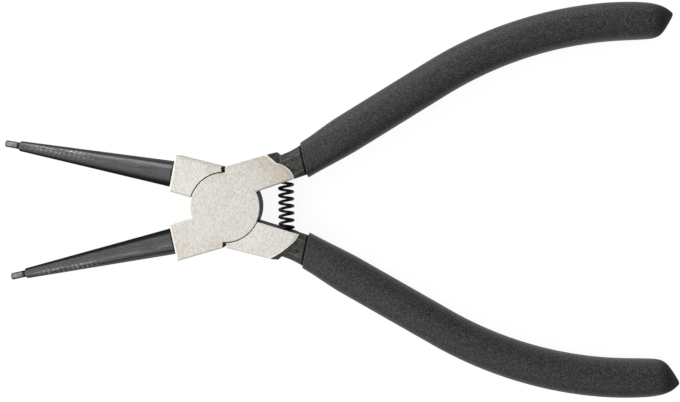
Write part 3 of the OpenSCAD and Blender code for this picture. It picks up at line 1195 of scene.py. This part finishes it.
@dataclass
class Tip:
    """A hardened pin in the nose of a jaw."""

    side: Side
    head: Head
    free: float = 3.9
    d: float = 1.8
    chamfer: float = 0.25
    seat_d: float = 1.3
    seat: float = 8.0
    seat_chamfer: float = 0.1
    groove: float = 0.06
    groove_len: float = 0.3
    foot_pole: float = 0.05
    end_pole: float = 0.1
    end_rings: int = 7
    around: int = 48
    sharp: float = 35.0

    def _profile(self) -> np.ndarray:
        """Works out the profile: shank, shoulder, shallow groove, pin and a quarter circle at the end."""
        r, shank, neck = self.d / 2, self.seat_d / 2, self.d / 2 - self.groove
        bend = np.linspace(0, math.pi / 2, self.end_rings)
        foot = np.array([
            [shank * self.foot_pole, -self.seat],
            [shank - self.seat_chamfer, -self.seat],
            [shank, self.seat_chamfer - self.seat],
            [shank, 0.0],
            [neck, 0.0],
            [neck, self.groove_len],
            [r, self.groove_len + self.groove],
        ])
        end_r = r - self.chamfer * (1 - np.cos(bend))
        end_z = self.free - self.chamfer * (1 - np.sin(bend))
        cap = np.array([[(r - self.chamfer) * self.end_pole, self.free]])
        return np.concatenate([foot, np.stack([end_r, end_z], -1), cap])

    def build(self) -> bpy.types.Object:
        """Makes the mesh: the profile, turned about the jaw's axis."""
        rings = revolve(self._profile(), self.around)
        nose, along = self.head.nose(self.side)
        out = np.array([-along[1], along[0], 0.0])
        up = np.array([0.0, 0.0, 1.0])
        points = nose + rings[..., :1] * out + rings[..., 1:2] * up + rings[..., 2:] * along
        piece = tube(f"{self.side.value}_tip_pin", self.side.place(points, self.head.mid), self.sharp)
        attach(piece, self.side.value)
        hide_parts(f"{self.side.value}_tip")
        return piece


@dataclass
class ReturnSpring:
    """The coil spring between the handle roots, with a closed turn at each end."""

    head: Head
    x: float = 15.75
    d: float = 4.35
    wire: float = 0.76
    turns: float = 10.75
    first_turn: float = 250.0
    half_length: float = 9.467
    shut_pitch: float = 1.05
    end_rounding: float = 40.0
    end_pole: float = 0.05
    steps: int = 48
    sides: int = 16

    def build(self) -> bpy.types.Object:
        """Makes the mesh: a circle of wire carried along a helix whose pitch closes at both ends."""
        r = (self.d - self.wire) / 2
        length = 2 * self.half_length - self.wire
        shut = self.wire * self.shut_pitch
        pitch = (length - 2 * shut) / (self.turns - 2)
        n = np.linspace(0, self.turns, int(self.turns * self.steps) + 1)
        middle = np.clip(n - 1, 0, self.turns - 2)
        y = -length / 2 + (n - middle) * shut + middle * pitch
        a = 2 * math.pi * n + math.radians(self.first_turn)
        lead = np.arctan(np.gradient(y, a) / r)
        t = np.linspace(0, 2 * math.pi, self.sides, endpoint=False)
        from_end = np.minimum(n, self.turns - n)
        end_taper = np.clip(from_end * self.end_rounding, self.end_pole, 1) ** 0.5
        across = r + (self.wire / 2) * np.cos(t) * end_taper[:, None]
        up = (self.wire / 2) * np.sin(t) * end_taper[:, None]
        cos, sin, tilt = np.cos(a)[:, None], np.sin(a)[:, None], np.sin(lead)[:, None]
        rings = np.stack([
            self.x + across * cos + up * tilt * sin,
            y[:, None] + up * np.cos(lead)[:, None],
            self.head.mid + across * sin - up * tilt * cos,
        ], -1)
        piece = tube("return_spring_coil", rings)
        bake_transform(piece)
        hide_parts("return_spring")
        return piece


@dataclass
class Lamp:
    """A soft rectangular lamp that looks at the middle of the pliers, in millimetres."""

    name: str
    place: tuple[float, float, float]
    size: tuple[float, float]
    watts: float

    def build(self, target: np.ndarray) -> None:
        """Makes the lamp.

        Args:
            target: The point that it looks at, in millimetres.
        """
        data = bpy.data.lights.new(self.name, "AREA")
        data.shape = "RECTANGLE"
        data.size, data.size_y = (side * MM for side in self.size)
        data.energy = self.watts
        lamp = bpy.data.objects.new(self.name, data)
        bpy.context.scene.collection.objects.link(lamp)
        back = np.array(self.place) - target
        tilt = math.atan2(math.hypot(back[0], back[1]), back[2])
        lamp.location = [p * MM for p in self.place]
        lamp.rotation_euler = (tilt, 0.0, math.atan2(back[0], -back[1]))


@dataclass
class Studio:
    """The pale floor, the soft light and the camera over the pliers."""

    camera_at: tuple[float, float, float] = (37.2, 12.0, 254.75)
    camera_turn: float = -1.0
    focal_px: float = 936.79
    sensor: float = 36.0
    shift: tuple[float, float] = (-0.03808, -0.06162)
    clip_start: float = 10.0
    floor_half: float = 1500.0
    floor_drop: float = 0.02
    floor_lines: int = 9
    floor: Colour = (0.6, 0.6, 0.6, 1.0)
    floor_shadow: Colour = (0.14, 0.14, 0.14, 1.0)
    floor_shine: float = 0.92
    zenith: float = 1.17
    horizon: float = 0.2
    overhead: Span = (0.0, 0.8)
    left_glow: float = 0.55
    left: Span = (-0.5, -1.0)
    right_share: float = 0.03
    right: Span = (-0.3, 0.6)
    target: tuple[float, float, float] = (20.0, 0.0, 5.0)
    lamps: list[Lamp] = field(default_factory=lambda: [
        Lamp("upper_strip", (-40.0, 420.0, 175.0), (620.0, 110.0), 0.95),
        Lamp("lower_softbox", (0.0, -300.0, 430.0), (500.0, 200.0), 0.28),
        Lamp("left_panel", (-420.0, 0.0, 150.0), (500.0, 160.0), 0.65),
    ])

    def build(self) -> None:
        """Makes the floor, the world, the lamps and the camera."""
        self._floor()
        self._world()
        for lamp in self.lamps:
            lamp.build(np.array(self.target))
        self._camera()
        bpy.context.scene.view_settings.view_transform = "Standard"

    def _floor(self) -> None:
        """Makes the floor, a square grid just under the part."""
        line = np.linspace(-1, 1, self.floor_lines) * self.floor_half
        x, y = np.meshgrid(line, line)
        points = np.stack([x, y, np.full_like(x, -self.floor_drop)], -1).reshape(-1, 3) * MM
        index = np.arange(x.size).reshape(x.shape)
        corners = [index[:-1, :-1], index[:-1, 1:], index[1:, 1:], index[1:, :-1]]
        mesh = bpy.data.meshes.new("floor")
        mesh.from_pydata(points.tolist(), [], np.stack(corners, -1).reshape(-1, 4).tolist())
        floor = bpy.data.objects.new("floor", mesh)
        bpy.context.scene.collection.objects.link(floor)
        dress(floor, self._floor_material())

    def _floor_material(self) -> bpy.types.Material:
        """Makes the floor's material, which shows white to the camera and in metal and keeps the shadow."""
        material, nodes = new_material("pale_floor")
        pale = nodes.make("ShaderNodeBsdfDiffuse", {}, {"Color": self.floor})
        veil = nodes.make("ShaderNodeBsdfDiffuse", {}, {"Color": self.floor_shadow})
        shine = nodes.make("ShaderNodeEmission", {}, {"Color": WHITE, "Strength": self.floor_shine})
        seen = nodes.make("ShaderNodeLightPath", {}, {}, "Is Camera Ray")
        glossy = nodes.make("ShaderNodeLightPath", {}, {}, "Is Glossy Ray")
        through = nodes.make("ShaderNodeLightPath", {}, {}, "Is Transmission Ray")
        both = nodes.make("ShaderNodeAddShader", {}, {0: veil, 1: shine})
        shown = nodes.make("ShaderNodeMixShader", {}, {0: seen + glossy + through, 1: pale, 2: both})
        nodes.make("ShaderNodeOutputMaterial", {}, {"Surface": shown})
        return material

    def _world(self) -> None:
        """Makes the sky: light overhead, dim at the horizon, bright to the left and dim to the right."""
        world = bpy.data.worlds.new("studio")
        world.use_nodes = True
        nodes = Nodes(world.node_tree)
        way = nodes.make("ShaderNodeTexCoord", {}, {}, "Generated")
        overhead = nodes.blend(way.axis("Z").ramp(*self.overhead), self.horizon, self.zenith)
        glow = way.axis("X").ramp(*self.left) * self.left_glow
        shade = nodes.blend(way.axis("X").ramp(*self.right), 1.0, self.right_share)
        strength = (overhead + glow) * shade
        sky = nodes.make("ShaderNodeBackground", {}, {"Color": WHITE, "Strength": strength})
        nodes.make("ShaderNodeOutputWorld", {}, {"Surface": sky})
        bpy.context.scene.world = world

    def _camera(self) -> None:
        """Makes the camera, which looks straight down on the pliers."""
        data = bpy.data.cameras.new("camera")
        data.sensor_width = self.sensor
        data.lens = self.focal_px * self.sensor / PHOTO_W
        data.shift_x, data.shift_y = self.shift
        data.clip_start = self.clip_start * MM
        camera = bpy.data.objects.new("camera", data)
        camera.location = [p * MM for p in self.camera_at]
        camera.rotation_euler = (0.0, 0.0, math.radians(self.camera_turn))
        bpy.context.scene.collection.objects.link(camera)
        bpy.context.scene.camera = camera


def main() -> None:
    """Builds the studio and every piece in order."""
    logging.basicConfig(level=logging.INFO, format="%(name)s: %(message)s")
    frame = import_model()
    head, line = Head(), HandleLine()
    Studio().build()
    steel, vinyl, bare = ForgedSteel(), DippedVinyl().material(), BareTipSteel()
    dress(frame["nodes"]["pivot_rivet"], steel.ground.rivet())
    LOG.info("dressed pivot_rivet")
    for side in Side:
        half = frame["nodes"][f"{side.value}_half"]
        dress(half, steel.material(head, line, side))
        LOG.info("dressed %s", half.name)
        grip = Grip(side, head, line).build()
        dress(grip, vinyl)
        LOG.info("built %s", grip.name)
        tip = Tip(side, head).build()
        dress(tip, bare.material(head, side))
        LOG.info("built %s", tip.name)
    spring = ReturnSpring(head).build()
    dress(spring, BlackWire().material())
    LOG.info("built %s", spring.name)


if __name__ == "__main__":
    main()
